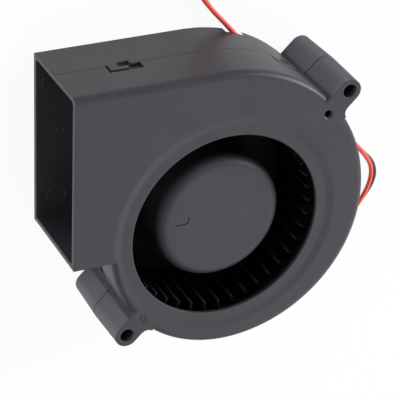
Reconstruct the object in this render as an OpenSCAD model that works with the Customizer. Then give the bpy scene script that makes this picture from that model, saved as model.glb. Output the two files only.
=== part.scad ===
// Radial (centrifugal) DC blower fan, 97 x 94 x 33 mm class, two-wire brushless motor.
// Rotor axis = Z through the origin. Back face lies on z = 0, the air inlet faces +Z,
// the outlet faces -X. All sizes are in millimetres.

/* [Housing] */
// Housing depth along the rotor axis
depth = 33; // [28:0.5:40]
// Radial room from the blade tips to the widest scroll arc, outside
scroll_room = 14.8; // [13.8:0.5:20]
// Side of the square that the scroll's four arc centres stand on
scroll_step = 5; // [3:0.5:7]
// Distance from the rotor axis to the outlet face
outlet_reach = 50; // [44:0.5:60]
// Height of the underside of the outlet duct above the rotor axis
duct_low = -5; // [-10:0.5:0]
// Side wall thickness of both halves
wall = 1.5; // [1.2:0.1:2.5]
// Thickness of the plate with the air inlet
front_plate = 1.6; // [1.2:0.1:2.5]
// Thickness of the plate that carries the motor
back_plate = 1.6; // [1.2:0.1:2.5]
// Rounding of the front outer edge
front_edge = 2.2; // [1.2:0.1:4]
// Rounding of the back outer edge
back_edge = 0.8; // [0.4:0.1:3]
// Depth of the fine groove that marks the parting line
seam_groove = 0.25; // [0:0.05:0.5]

/* [Air inlet] */
// How far the inlet plate covers the blade ring
inlet_lip = 4; // [2:0.25:6]
// Depth of the dished land around the inlet
dish_depth = 0.5; // [0.2:0.1:1]
// Width of the flat dished land around the inlet
dish_land = 3.5; // [2:0.25:4.5]
// Width of the slope from the face down to the dished land
dish_slope = 2.5; // [1:0.25:4]

/* [Mounting ears] */
// Diameter of the mounting holes
ear_hole_d = 4.5; // [3:0.1:5]
// Radius of the ear ends at the outer faces
ear_r = 3.8; // [3.4:0.1:5]
// Mould draft of the ears from face to parting line
ear_draft = 0.4; // [0:0.1:0.8]
// Distance of each hole beyond the scroll wall
ear_stand_off = 5.9; // [5:0.1:9]
// Radius of the fillet at the foot of each ear
ear_fillet = 2.5; // [1.5:0.5:8]
// Diameter of the pilot hole beside the upper ear
pilot_d = 2.2; // [1.5:0.1:3]

/* [Snap latches] */
// Width of a snap tongue
snap_w = 5.8; // [4.5:0.1:10]
// Length of a tongue beyond the parting line
snap_reach = 2.6; // [2:0.1:4]
// Thickness of a tongue
snap_t = 1; // [0.8:0.1:1.4]
// Place of the straight-wall snap along the duct
snap_x = -30.4; // [-40:0.1:-15]

/* [Impeller] */
// Number of blades
blade_count = 41; // [25:1:53]
// Outer radius of the blade ring
impeller_r = 35; // [30:0.5:36]
// Depth of the blades, inside to outside
blade_depth = 4.6; // [3:0.1:8]
// Thickness of one blade
blade_t = 0.7; // [0.5:0.05:1.2]
// Radius of the arc a blade is bent to
blade_bend = 4.6; // [4:0.1:8]
// Radial gap between the impeller and the tongue of the scroll
tongue_gap = 1; // [0.8:0.1:3]
// Outer radius of the hub
hub_r = 20.8; // [18:0.1:24]
// Wall thickness of the hub and its floor disc
hub_wall = 1.4; // [1:0.1:2]
// Rounding of the hub's front edge
hub_edge = 3.5; // [1:0.25:5]
// Distance of the hub's front below the housing face
hub_below = 5; // [3:0.25:8]
// Distance of the impeller floor above the back plate
floor_gap = 2.8; // [2.4:0.1:4]

/* [Motor] */
// Shaft diameter
shaft_d = 3; // [2:0.1:4]
// Radial running clearance of shaft and bearing balls
running_gap = 0.03; // [0.01:0.01:0.1]
// Outer diameter of the ball bearings
bearing_d = 8; // [7:0.5:9]
// Width of a ball bearing
bearing_w = 4; // [3:0.25:5]
// Number of balls in a bearing
ball_count = 7; // [6:1:8]
// Wall of the brass bearing tube
tube_wall = 1; // [0.6:0.1:1.5]
// Magnet ring thickness
magnet_t = 1.6; // [1:0.1:2.5]
// Air gap between stator and magnet
air_gap = 0.5; // [0.3:0.05:1]
// Height of the stator's lamination stack
stack_h = 7; // [5:0.5:9]
// Width of one stator arm
arm_w = 3.6; // [2.5:0.1:4.5]
// Steel thickness of the rotor cup
cup_t = 0.9; // [0.6:0.1:1.4]
// Thickness of the circuit board
board_t = 1.2; // [0.8:0.1:1.6]
// Height of the circuit board's underside above the back face
board_z = 6.2; // [5.8:0.1:7]

/* [Leads] */
// Outer diameter of one insulated lead
lead_d = 1.5; // [1.2:0.1:2]
// Radius of the tidy coil, middle of the inner lead
coil_r = 7.5; // [7:0.25:10]
// Height of the tidy coil
coil_h = 5.4; // [4:0.1:7]
// Length of the bare tinned ends
tip_length = 6; // [4:0.5:10]

/* [Hidden] */
$fn = 64;
seam = depth / 2;
half_step = scroll_step / 2;
scroll_r = impeller_r + scroll_room;
inlet_r = impeller_r - inlet_lip;
dish_r = inlet_r + dish_land;
scroll_top = scroll_r + half_step;
arc_a = [-half_step, half_step];
arc_b = [half_step, half_step];
arc_c = [half_step, -half_step];
arc_b_r = scroll_r - scroll_step;
arc_c_r = arc_b_r - scroll_step;
relief_h = 0.15;
corner_fillet = 1.25;
foot_overlap = 0.06;
rotor_bore = impeller_r + tongue_gap;

// ears stand on the two diagonals, a fixed distance beyond the wall they leave
upper_wall = sqrt(pow(scroll_r, 2) - pow(scroll_step, 2) / 2);
lower_wall = sqrt(pow(arc_c_r, 2) - pow(scroll_step, 2) / 2);
upper_ear = upper_wall + ear_stand_off;
lower_ear = lower_wall + ear_stand_off;
ear_arc_v = scroll_step / sqrt(2);
pilot_reach = upper_wall - 3.7;
pilot_boss_r = pilot_d / 2 + 1;

// motor stack, measured up from the back face
hub_top = depth - hub_below;
impeller_floor = back_plate + floor_gap;
cup_top = hub_top - hub_wall;
cup_r = hub_r - hub_wall;
cup_bottom = board_z + board_t + 1.4;
magnet_out = cup_r - cup_t;
magnet_in = magnet_out - magnet_t;
stator_r = magnet_in - air_gap;
bearing_r = bearing_d / 2;
tube_r = bearing_r + tube_wall;
socket_wall = 1.8;
tube_z = 2.2;
clip_t = 0.5;
clip_z = tube_z + 0.1;
rear_bearing_z = 3.2;
stack_z = board_z + board_t + 4.2;
stack_top = stack_z + stack_h;
front_bearing_z = stack_top - 2.2;
front_bearing_top = front_bearing_z + bearing_w;
tube_top = front_bearing_top;
spring_t = 0.6;
boss_r = 4;
boss_z = front_bearing_top + spring_t;
shaft_r = shaft_d / 2;
shaft_z = tube_z;
shaft_top = cup_top - 0.6;
insulator_t = 0.8;
arm_in = tube_r + 2.4;
shoe_in = stator_r - 2.2;
coil_in = arm_in + 0.5;
coil_out = shoe_in - 0.4;
coil_build = 1.9;
pin_r = 0.35;
pin_ring = tube_r + 2.4;
pin_boss_r = 1;
component_z = board_z + board_t;
component_r = cup_r - 6;
race_t = 0.7;
ball_r = 0.71;
ball_ring = (bearing_r + shaft_r) / 2;
groove_r = ball_r + running_gap;

// lead channels in the back plate
channel_w = 2 * lead_d + 0.4;
channel_side = 1.4;
exit_angle = -29;
exit_depth = lead_d + 0.5;
exit_slot = [11, 17.5];
pass_depth = 2 * lead_d + 0.2;
pass_angle = 40.4;
pass_reach = (scroll_r + rotor_bore) / 2;

// centre line of the lead pair: x, y, height of its lower side, twist of the pair
lead_r = lead_d / 2;
pair_r = lead_r + 0.02;
ex = cos(exit_angle);
ey = sin(exit_angle);
lead_start = board_z - 0.9;
lead_route = [
    [11.6 * ex, 11.6 * ey, lead_start - lead_r, 0],
    [13 * ex, 13 * ey, 2.4, 0],
    [15.4 * ex, 15.4 * ey, 0.6, 0],
    [19 * ex, 19 * ey, 0, 0],
    [26 * ex, 26 * ey, 0, 0],
    [33 * ex, 33 * ey, 0, 0],
    [40 * ex, 40 * ey, 0, 0],
    [47 * ex, 47 * ey, 0, 5],
    [50, -26.6, 0, 20],
    [58, -27.8, 0, 40],
    [63.6, -24.6, 0, 50],
    [66.8, -20.4, 0, 45],
    [69.2, -16.2, 0, 25],
    [69.9, -12, 0, 20],
    [68.6, -7.8, 0, 45],
    [65.6, -3.8, 0, 80],
    [61, 1.2, 0, 90],
    [54.6, 5.6, 0, 90],
    [49, 9.4, 0, 90],
    [44, 14.35, 0, 90],
    [36, 23.76, 0, 90],
    [28, 33.18, 0, 90],
    [20, 42.59, 0, 90],
    [12, 52, 0, 90],
    [7.6, 57, 0, 88],
    [4, 62, 0, 70],
    [1.8, 66.4, 0, 42],
    [0.6, 70.6, 0, 16],
    [0.2, 74.6, 0, 0]
];
last_stop = len(lead_route) - 1;
coil_mid = coil_r + lead_r;
coil_centre = [lead_route[last_stop][0] + coil_mid, lead_route[last_stop][1]];
coil_outer_r = coil_r + lead_d;
red_turns = 1.97;
black_turns = 2.31;
turn_rise = lead_d + 0.05;
core_r = lead_r / 2;

// ---------- scroll casing ----------

// cross-section of a casing half: reach from the arc centre, rounded at its far upper corner
module edge_section(reach, low, high, edge) {
    translate([0, low])
        square([reach - edge, high - low]);
    translate([0, low])
        square([reach, high - edge - low]);
    translate([reach - edge, high - edge])
        circle(edge);
}

// a quarter of the spiral about one arc centre
module spiral_quarter(centre, start, reach, low, high, edge) {
    translate([centre[0], centre[1], 0])
        rotate([0, 0, start])
            rotate_extrude(angle = 90, $fn = 128)
                edge_section(reach, low, high, edge);
}

// four-centre spiral with its tangential outlet duct, shrunk inwards by inset
module scroll_solid(inset, low, high, edge, extra = 0) {
    spiral_quarter(arc_a, 0, scroll_r - inset, low, high, edge);
    spiral_quarter(arc_b, -90, arc_b_r - inset, low, high, edge);
    spiral_quarter(arc_c, -180, arc_c_r - inset, low, high, edge);
    translate([-outlet_reach - extra, 0, 0])
        rotate([90, 0, 90])
            linear_extrude(outlet_reach + extra - half_step)
                duct_section(inset, low, high, edge);
    translate([-half_step - 1, duct_low + inset, low])
        cube([scroll_step + 1, half_step - duct_low - inset, high - low]);
}

// section of the duct across the air flow, rounded along the top wall only
module duct_section(inset, low, high, edge) {
    translate([duct_low + inset, 0])
        edge_section(scroll_top - duct_low - 2 * inset, low, high, edge);
}

// one mounting ear of a half, drawn along +X from the rotor axis
module ear(reach, arc_r, fillet_side, height, inset) {
    root_r = ear_r + ear_draft - inset;
    end_r = inset > 0 ? root_r : ear_r;
    arm_start = reach - ear_stand_off - 6;
    translate([reach, 0, 0])
        cylinder(h = height, r1 = root_r, r2 = end_r);
    translate([arm_start, 0, 0])
        rotate([90, 0, 90])
            linear_extrude(reach - arm_start)
                polygon([[-root_r, 0], [root_r, 0], [end_r, height], [-end_r, height]]);
    ear_foot(arc_r, fillet_side, height, inset);
}

// concave fillet between an ear and the scroll wall
module ear_foot(arc_r, side, height, inset) {
    bend = ear_fillet + inset - foot_overlap;
    fillet_v = side * (ear_r + ear_fillet);
    across = fillet_v - ear_arc_v;
    span = arc_r + ear_fillet;
    fillet_u = sqrt(pow(span, 2) - pow(across, 2));
    meet = (arc_r - 1) / span;
    linear_extrude(height)
        difference() {
            polygon([
                [fillet_u, side * (ear_r - 1)],
                [fillet_u, fillet_v],
                [fillet_u * meet, ear_arc_v + across * meet],
                [fillet_u * meet, side * (ear_r - 1)]
            ]);
            translate([fillet_u, fillet_v])
                circle(bend);
        }
}

// both ears of a half
module ears(height, inset) {
    rotate([0, 0, 45])
        ear(upper_ear, scroll_r, -1, height, inset);
    rotate([0, 0, 225])
        ear(lower_ear, arc_c_r, 1, height, inset);
}

module ear_holes(height) {
    for (place = [[45, upper_ear], [225, lower_ear]])
        rotate([0, 0, place[0]])
            translate([place[1], 0, -1])
                cylinder(h = height + 2, d = ear_hole_d);
}

// casing half standing on the parting plane, open there and at the outlet;
// one half carries the snap tongues, the other the thicker walls that face them
module casing_half(height, plate, edge, tongues) {
    difference() {
        union() {
            scroll_solid(0, relief_h, height, edge);
            scroll_solid(seam_groove, 0, height / 2, edge / 2);
            translate([0, 0, relief_h])
                ears(height - relief_h, 0);
            ears(height / 2, seam_groove);
            if (tongues)
                at_snaps()
                    snap_tongue();
        }
        difference() {
            scroll_solid(wall, -1, height - plate, max(edge - wall / 2, corner_fillet), 1);
            if (!tongues)
                at_snaps()
                    snap_backing();
        }
        translate([0, 0, -1])
            cylinder(h = height - plate + 1, r = rotor_bore, $fn = 128);
        ear_holes(height);
        if (tongues)
            at_snaps()
                snap_relief();
    }
}

// ---------- snap latches ----------

// places a snap on every wall that has one: x along the wall, y outwards, z off the seam
module at_snaps() {
    translate([snap_x, scroll_top, 0])
        children();
    at_arc_snap(arc_a, scroll_r, 58.5)
        children();
    at_arc_snap(arc_b, arc_b_r, -38)
        children();
    at_arc_snap(arc_c, arc_c_r, 206)
        children();
}

module at_arc_snap(centre, reach, angle) {
    translate([centre[0], centre[1], 0])
        rotate([0, 0, angle - 90])
            translate([0, reach, 0])
                children();
}

snap_pad = 1.4;
snap_gap = 0.1;
snap_sunk = 0.05;
snap_root = 3;
snap_side = 0.8;
snap_slit = 1.2;
snap_slit_rise = 1.9;
snap_slot_left = -snap_w / 2 - snap_side;
snap_slot_w = snap_w + snap_side + snap_slit + 3.1;
snap_window_w = 2.7;
snap_window_low = 1;
snap_window_rise = 1.6;

// thicker wall behind the slot in the cover
module snap_backing() {
    translate([snap_slot_left - 1, -wall - snap_pad, 0])
        cube([snap_slot_w + 2, snap_pad + 0.4, snap_reach + 2.2]);
}

// slot in the cover that the tongue slides into
module snap_slot() {
    translate([snap_slot_left, -snap_t - snap_gap, -1])
        cube([snap_slot_w, 3, snap_reach + 2.4]);
}

// latch nose on the floor of the slot
module snap_nose() {
    translate([snap_w / 2 - snap_window_w + snap_gap, -snap_t - snap_gap - 0.3, snap_gap])
        cube([snap_window_w - 2 * snap_gap, 0.9, snap_window_low - 2 * snap_gap]);
}

// tongue of the back casing, reaching across the seam
module snap_tongue() {
    translate([-snap_w / 2, -snap_t - snap_sunk, -snap_reach])
        cube([snap_w, snap_t, snap_root + snap_reach]);
}

// window of the tongue, and the slits beside its root that let it spring
module snap_relief() {
    slit_depth = snap_t - snap_gap;
    translate([snap_w / 2 - snap_window_w, -slit_depth, -snap_window_low])
        cube([snap_window_w + 0.1, 3, snap_window_low + snap_window_rise]);
    translate([snap_w / 2 - snap_window_w, -snap_t - 1, -snap_window_low])
        cube([snap_window_w + 0.1, 3, snap_window_low]);
    translate([snap_w / 2, -slit_depth, -0.1])
        cube([snap_slit, 3, snap_slit_rise]);
    translate([snap_slot_left, -slit_depth, -0.1])
        cube([snap_side, 3, snap_slit_rise / 2]);
}

// ---------- front cover ----------

module inlet_cut() {
    land = depth - dish_depth;
    rotate_extrude($fn = 128)
        polygon([
            [0, seam + 2],
            [inlet_r, seam + 2],
            [inlet_r, land],
            [dish_r, land],
            [dish_r + 2 * dish_slope, land + 2 * dish_depth],
            [0, land + 2 * dish_depth]
        ]);
}

module pilot_boss() {
    rotate([0, 0, 45])
        translate([pilot_reach, 0, depth - front_plate - 3])
            cylinder(h = front_plate + 2, r = pilot_boss_r);
}

module pilot_hole() {
    rotate([0, 0, 45])
        translate([pilot_reach, 0, 0]) {
            translate([0, 0, depth - 4])
                cylinder(h = 5, d = pilot_d);
            translate([0, 0, depth - 0.5])
                cylinder(h = 0.6, r1 = pilot_d / 2, r2 = pilot_d / 2 + 0.6);
        }
    rotate([0, 0, 225])
        translate([lower_wall - 1.2, 0, depth - 0.2])
            difference() {
                cylinder(h = 1, r = 1.2);
                translate([0, 0, -1])
                    cylinder(h = 3, r = 0.85);
            }
}

module front_cover() {
    color([0.2, 0.2, 0.21])
        difference() {
            union() {
                translate([0, 0, seam])
                    casing_half(depth - seam, front_plate, front_edge, false);
                pilot_boss();
            }
            inlet_cut();
            pilot_hole();
            translate([0, 0, seam])
                difference() {
                    at_snaps()
                        snap_slot();
                    at_snaps()
                        snap_nose();
                }
        }
}

// ---------- back casing ----------

module lead_channels() {
    rotate([0, 0, exit_angle])
        translate([exit_slot[0], -channel_w / 2, -1])
            cube([scroll_r, channel_w, exit_depth + 1]);
    rotate([0, 0, exit_angle])
        translate([exit_slot[0], -channel_w / 2, -1])
            cube([exit_slot[1] - exit_slot[0], channel_w, board_z]);
    rotate([0, 0, pass_angle])
        translate([pass_reach - channel_w / 2, -scroll_r, -1])
            cube([channel_w, 2 * scroll_r, pass_depth + 1]);
}

// raised ribs inside the casing that close the two channels
module channel_ribs() {
    rib_w = channel_w + 2 * channel_side;
    intersection() {
        union() {
            rotate([0, 0, exit_angle])
                translate([exit_slot[1] - 1.4, -rib_w / 2, 0])
                    cube([scroll_r, rib_w, exit_depth + channel_side]);
            rotate([0, 0, pass_angle])
                translate([pass_reach - rib_w / 2, -scroll_r, 0])
                    cube([rib_w, 2 * scroll_r, pass_depth + channel_side]);
        }
        translate([0, 0, seam])
            mirror([0, 0, 1])
                scroll_solid(wall / 2, 0, seam, back_edge);
    }
}

module motor_socket() {
    cylinder(h = board_z, r = tube_r + socket_wall);
}

module back_casing() {
    color([0.2, 0.2, 0.21])
        difference() {
            union() {
                translate([0, 0, seam])
                    mirror([0, 0, 1])
                        casing_half(seam, back_plate, back_edge, true);
                channel_ribs();
                motor_socket();
            }
            lead_channels();
            translate([0, 0, tube_z])
                cylinder(h = board_z, r = tube_r);
            translate([0, 0, -1])
                cylinder(h = tube_z + 2, r = bearing_r);
            translate([0, 0, -1])
                cylinder(h = plug_flange_t + 1, r = plug_flange_r);
        }
}

plug_flange_r = bearing_r + 2;
plug_flange_t = 0.8;

// flush plug that closes the bearing pocket from behind
module tube_plug() {
    color([0.15, 0.15, 0.16]) {
        cylinder(h = plug_flange_t, r = plug_flange_r);
        difference() {
            cylinder(h = tube_z - 0.4, r = bearing_r);
            translate([0, 0, plug_flange_t])
                cylinder(h = tube_z, r = bearing_r - 0.8);
        }
    }
}

// ---------- ball bearings ----------

module bearing_tube() {
    color([0.78, 0.62, 0.3])
        difference() {
            translate([0, 0, tube_z])
                cylinder(h = tube_top - tube_z, r = tube_r);
            translate([0, 0, tube_z - 1])
                cylinder(h = tube_top, r = bearing_r);
        }
}

module ball_groove(z) {
    translate([0, 0, z + bearing_w / 2])
        rotate_extrude()
            translate([ball_ring, 0])
                circle(groove_r, $fn = 32);
}

module race(z, inner, outer) {
    color([0.75, 0.76, 0.78])
        difference() {
            translate([0, 0, z])
                cylinder(h = bearing_w, r = outer);
            translate([0, 0, z - 1])
                cylinder(h = bearing_w + 2, r = inner);
            ball_groove(z);
        }
}

module outer_race(z) {
    race(z, bearing_r - race_t, bearing_r);
}

module inner_race(z) {
    race(z, shaft_r, shaft_r + race_t);
}

module balls(z) {
    color([0.85, 0.86, 0.88])
        for (i = [0:ball_count - 1])
            rotate([0, 0, i * 360 / ball_count])
                translate([ball_ring, 0, z + bearing_w / 2])
                    sphere(ball_r, $fn = 24);
}

// crown ring that keeps the balls apart
module cage(z) {
    color([0.7, 0.6, 0.35])
        difference() {
            translate([0, 0, z + bearing_w / 2 - 1.3])
                cylinder(h = 1.3, r = ball_ring + 0.3);
            translate([0, 0, z])
                cylinder(h = bearing_w, r = ball_ring - 0.3);
            for (i = [0:ball_count - 1])
                rotate([0, 0, i * 360 / ball_count])
                    translate([ball_ring, 0, z + bearing_w / 2])
                        sphere(groove_r, $fn = 24);
        }
}

module shield(z) {
    color([0.72, 0.73, 0.75])
        translate([0, 0, z])
            difference() {
                cylinder(h = 0.25, r = bearing_r - race_t);
                translate([0, 0, -1])
                    cylinder(h = 3, r = shaft_r + race_t + 0.08);
            }
}

// ---------- stator and circuit board ----------

module stator_outline(shoe_gap, thin) {
    difference() {
        union() {
            circle(arm_in - thin);
            for (i = [0:3])
                rotate([0, 0, 45 + 90 * i])
                    translate([0, -arm_w / 2 + thin])
                        square([stator_r - 1, arm_w - 2 * thin]);
            difference() {
                circle(stator_r - thin);
                circle(shoe_in + thin);
                for (i = [0:3])
                    rotate([0, 0, 90 * i])
                        translate([0, -shoe_gap / 2])
                            square([stator_r + 1, shoe_gap]);
            }
        }
        circle(tube_r);
    }
}

module stator_core() {
    color([0.55, 0.56, 0.58])
        translate([0, 0, stack_z])
            linear_extrude(stack_h)
                stator_outline(2.4, 0);
}

// insulator half: arm covers, a collar on the tube and a low wall behind the coils
module insulator(collar) {
    linear_extrude(insulator_t)
        stator_outline(3, 0);
    linear_extrude(insulator_t + coil_build)
            difference() {
                stator_outline(3, 0);
                circle(shoe_in + 0.1);
                difference() {
                    circle(stator_r + 1);
                    circle(shoe_in + 0.8);
                }
            }
    linear_extrude(insulator_t + collar)
        difference() {
            circle(arm_in - 0.4);
            circle(tube_r);
        }
}

module upper_insulator() {
    color([0.93, 0.92, 0.88])
        translate([0, 0, stack_top])
            insulator(1);
}

module lower_insulator() {
    color([0.93, 0.92, 0.88])
        difference() {
            union() {
                translate([0, 0, stack_z])
                    mirror([0, 0, 1])
                        insulator(stack_z - board_z - board_t - insulator_t);
                at_pins()
                    translate([0, 0, component_z])
                        cylinder(h = stack_z - component_z, r = pin_boss_r);
            }
            at_pins()
                cylinder(h = stack_z, r = pin_r);
        }
}

module at_pin(i) {
    rotate([0, 0, 90 * i])
        translate([pin_ring, 0, 0])
            children();
}

module at_pins() {
    for (i = [0:2])
        at_pin(i)
            children();
}

module coil_pin(i) {
    color([0.8, 0.75, 0.6])
        at_pin(i)
            translate([0, 0, board_z - 0.6])
                cylinder(h = stack_z - board_z - 0.4, r = pin_r);
}

// winding around one stator arm, corners rounded
module coil(i) {
    inner_w = arm_w;
    inner_h = stack_h + 2 * insulator_t;
    color([0.72, 0.38, 0.18])
        rotate([0, 0, 45 + 90 * i])
            translate([coil_in, 0, stack_z + stack_h / 2])
                rotate([90, 0, 90])
                    linear_extrude(coil_out - coil_in)
                        difference() {
                            rounded_square(inner_w + 2 * coil_build, inner_h + 2 * coil_build, 1.2);
                            square([inner_w, inner_h], center = true);
                        }
}

module rounded_square(w, h, r) {
    square([w - 2 * r, h], center = true);
    square([w, h - 2 * r], center = true);
    for (x = [-1, 1], y = [-1, 1])
        translate([x * (w / 2 - r), y * (h / 2 - r)])
            circle(r, $fn = 24);
}

module circuit_board() {
    color([0.1, 0.35, 0.2])
        difference() {
            translate([0, 0, board_z])
                cylinder(h = board_t, r = cup_r - 1.8);
            translate([0, 0, board_z - 1])
                cylinder(h = board_t + 2, r = tube_r);
            at_pins()
                cylinder(h = stack_z, r = pin_r);
        }
}

// surface-mounted part on the board: angle, size and lead frame
module board_part(angle, size, tint) {
    color(tint)
        rotate([0, 0, angle])
            translate([component_r - size[0] / 2, -size[1] / 2, component_z])
                cube(size);
}

module hall_sensor() {
    board_part(90, [1.6, 2.8, 1.1], [0.12, 0.12, 0.13]);
}

module driver_chip() {
    board_part(180, [4, 5, 1.3], [0.1, 0.1, 0.11]);
    color([0.8, 0.8, 0.82])
        for (side = [-1, 1], i = [-1.5:1:1.5])
            rotate([0, 0, 180])
                translate([component_r + i * 0.9 - 0.15, side * 2.9 - 0.45, component_z])
                    cube([0.3, 0.9, 0.6]);
}

module capacitor() {
    board_part(-90, [2.4, 1.6, 1.2], [0.72, 0.6, 0.42]);
}

module resistor() {
    board_part(222, [1.2, 2, 0.6], [0.08, 0.08, 0.09]);
}

module diode() {
    board_part(0, [2.2, 3.6, 1.3], [0.09, 0.09, 0.1]);
}

module solder(stop) {
    color([0.82, 0.83, 0.85])
        translate([stop[0], stop[1], lead_start - 0.5])
            cylinder(h = board_z - lead_start + 0.5, r1 = lead_r - 0.1, r2 = lead_r);
}

module red_solder() {
    solder(lead_place(0, 1));
}

module black_solder() {
    solder(lead_place(0, -1));
}

// ---------- rotor ----------

module shaft() {
    color([0.8, 0.81, 0.83])
        difference() {
            translate([0, 0, shaft_z])
                cylinder(h = shaft_top - shaft_z, r = shaft_r);
            clip_space(shaft_r - 0.35, shaft_r + 1);
        }
}

module clip_space(inner, outer) {
    translate([0, 0, clip_z])
        difference() {
            cylinder(h = clip_t, r = outer);
            translate([0, 0, -1])
                cylinder(h = 3, r = inner);
        }
}

module retaining_clip() {
    color([0.6, 0.6, 0.62])
        difference() {
            clip_space(shaft_r - 0.35, shaft_r + 1);
            translate([0, -0.8, 0])
                cube([4, 1.6, tube_z + 3]);
        }
}

module thrust_washer() {
    washer_z = clip_z + clip_t;
    color([0.9, 0.88, 0.8])
        translate([0, 0, washer_z])
            difference() {
                cylinder(h = rear_bearing_z - washer_z, r = shaft_r + race_t);
                translate([0, 0, -1])
                    cylinder(h = 3, r = shaft_r);
            }
}

// wave washer that preloads the front bearing
module spring_washer() {
    color([0.7, 0.7, 0.72])
        translate([0, 0, front_bearing_top])
            difference() {
                cylinder(h = spring_t, r = shaft_r + race_t);
                translate([0, 0, -1])
                    cylinder(h = 3, r = shaft_r);
            }
}

module rotor_cup() {
    color([0.62, 0.63, 0.65])
        difference() {
            translate([0, 0, cup_bottom])
                cylinder(h = cup_top - cup_bottom, r = cup_r);
            translate([0, 0, cup_bottom - 1])
                cylinder(h = cup_top - cup_bottom + 1 - cup_t, r = magnet_out);
            translate([0, 0, cup_top - 2])
                cylinder(h = 4, r = boss_r);
        }
}

module magnet_ring() {
    magnet_z = cup_bottom + 0.4;
    color([0.25, 0.24, 0.24])
        translate([0, 0, magnet_z])
            difference() {
                cylinder(h = stack_top + 2 - magnet_z, r = magnet_out);
                translate([0, 0, -1])
                    cylinder(h = depth, r = magnet_in);
            }
}

// forward-curved blade: a strip between two arcs, cut to the blade ring
module blade_section() {
    mid = impeller_r - blade_depth / 2;
    intersection() {
        difference() {
            translate([mid - 1.6, blade_bend])
                circle(blade_bend + blade_t / 2, $fn = 48);
            translate([mid - 1.6, blade_bend])
                circle(blade_bend - blade_t / 2, $fn = 48);
        }
        translate([impeller_r - blade_depth, -1])
            square([blade_depth - 0.3, blade_bend]);
    }
}

module blades() {
    ring_z = impeller_floor + hub_wall - 0.2;
    for (i = [0:blade_count - 1])
        rotate([0, 0, i * 360 / blade_count])
            translate([0, 0, ring_z])
                linear_extrude(hub_top - ring_z - 0.3)
                    blade_section();
}

module impeller_cup() {
    rotate_extrude($fn = 128)
        difference() {
            union() {
                translate([0, impeller_floor])
                    square([impeller_r, hub_wall]);
                edge_section(hub_r, impeller_floor, hub_top, hub_edge);
            }
            translate([0, impeller_floor - 1])
                square([cup_r, cup_top - impeller_floor + 1]);
        }
}

// ring that ties the blade tips together at the inlet end
module tip_ring() {
    ring_h = 1.4;
    translate([0, 0, hub_top - ring_h])
        difference() {
            cylinder(h = ring_h, r = impeller_r, $fn = 128);
            translate([0, 0, -1])
                cylinder(h = ring_h + 2, r = impeller_r - 1.1, $fn = 128);
        }
}

module shaft_boss() {
    difference() {
        translate([0, 0, boss_z])
            cylinder(h = hub_top - 0.5 - boss_z, r = boss_r);
        translate([0, 0, boss_z - 1])
            cylinder(h = shaft_top - boss_z + 1, r = shaft_r);
    }
}

// fine hooked mark left on the hub by the mould
module mould_mark() {
    translate([-14.6, 0.3, hub_top - 0.25]) {
        cube([3, 0.3, 1]);
        translate([3, 1.2, 0])
            intersection() {
                difference() {
                    cylinder(h = 1, r = 1.2, $fn = 32);
                    translate([0, 0, -1])
                        cylinder(h = 3, r = 0.9, $fn = 32);
                }
                translate([0, -2, 0])
                    cube([2, 2, 1]);
            }
        translate([3.9, 1.2, 0])
            cube([0.3, 1.2, 1]);
    }
}

module impeller() {
    color([0.16, 0.16, 0.17])
        difference() {
            union() {
                impeller_cup();
                blades();
                tip_ring();
                shaft_boss();
            }
            mould_mark();
        }
}

// ---------- leads ----------

// point of the pair's centre line between stops, smooth through every stop
function spline(a, b, c, d, t) =
    0.5 * (2 * b + (c - a) * t + (2 * a - 5 * b + 4 * c - d) * t * t
    + (3 * b - a - 3 * c + d) * t * t * t);

// route points, carried straight on past both ends
function stop(i) =
    i < 0 ? 2 * lead_route[0] - lead_route[1]
    : i > last_stop ? 2 * lead_route[last_stop] - lead_route[last_stop - 1]
    : lead_route[i];

function pair_at(s) =
    let (i = min(floor(s), last_stop - 1), t = s - i)
    spline(stop(i - 1), stop(i), stop(i + 1), stop(i + 2), t);

function unit(v) = v / norm(v);

function left_of(s) =
    let (e = 0.05, a = pair_at(max(0, s - e)), b = pair_at(min(last_stop, s + e)))
    unit([a[1] - b[1], b[0] - a[0], 0]);

// centre of one lead: side is 1 for red, -1 for black
function lead_place(s, side) =
    let (p = pair_at(s), n = left_of(s), swing = pair_r * abs(sin(p[3])))
    [p[0], p[1], max(0, p[2]) + lead_r + swing]
    + side * pair_r * (cos(p[3]) * n + [0, 0, sin(p[3])]);

function lead_heading(s, side) =
    let (e = 0.05)
    unit(lead_place(min(last_stop, s + e), side) - lead_place(max(0, s - e), side));

function lead_ring(s, side, sides) =
    let (p = lead_place(s, side), t = lead_heading(s, side))
    let (n = unit([-t[1], t[0], 0]), b = cross(t, n))
    [for (k = [0:sides - 1])
        let (a = 360 * (k + 0.5) / sides)
        p + lead_r * (cos(a) * n + sin(a) * b)];

module lead(side) {
    sides = 8;
    rings = 40;
    stops = [for (i = [0:rings - 1]) last_stop * i / (rings - 1)];
    points = [for (s = stops) each lead_ring(s, side, sides)];
    start_cap = [[for (k = [0:sides - 1]) k]];
    end_cap = [[for (k = [0:sides - 1]) rings * sides - 1 - k]];
    skin = [for (r = [0:rings - 2], k = [0:sides - 1])
        let (j = (k + 1) % sides)
        [r * sides + k, (r + 1) * sides + k, (r + 1) * sides + j, r * sides + j]];
    polyhedron(points, concat(start_cap, end_cap, skin));
}

module red_lead() {
    color([0.85, 0.1, 0.08])
        lead(1);
}

module black_lead() {
    color([0.06, 0.06, 0.07])
        lead(-1);
}

// outer shape of the turns of one lead in the tidy coil
module lead_coil(middle_r) {
    translate([coil_centre[0], coil_centre[1], coil_h / 2])
        rotate_extrude()
            translate([middle_r, 0])
                rounded_square(lead_d, coil_h, lead_r - 0.05);
}

module red_lead_coil() {
    color([0.85, 0.1, 0.08])
        lead_coil(coil_outer_r);
}

module black_lead_coil() {
    color([0.06, 0.06, 0.07])
        lead_coil(coil_r);
}

tie_angle = 20;
tie_w = 2.4;
tie_t = 0.5;

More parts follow.
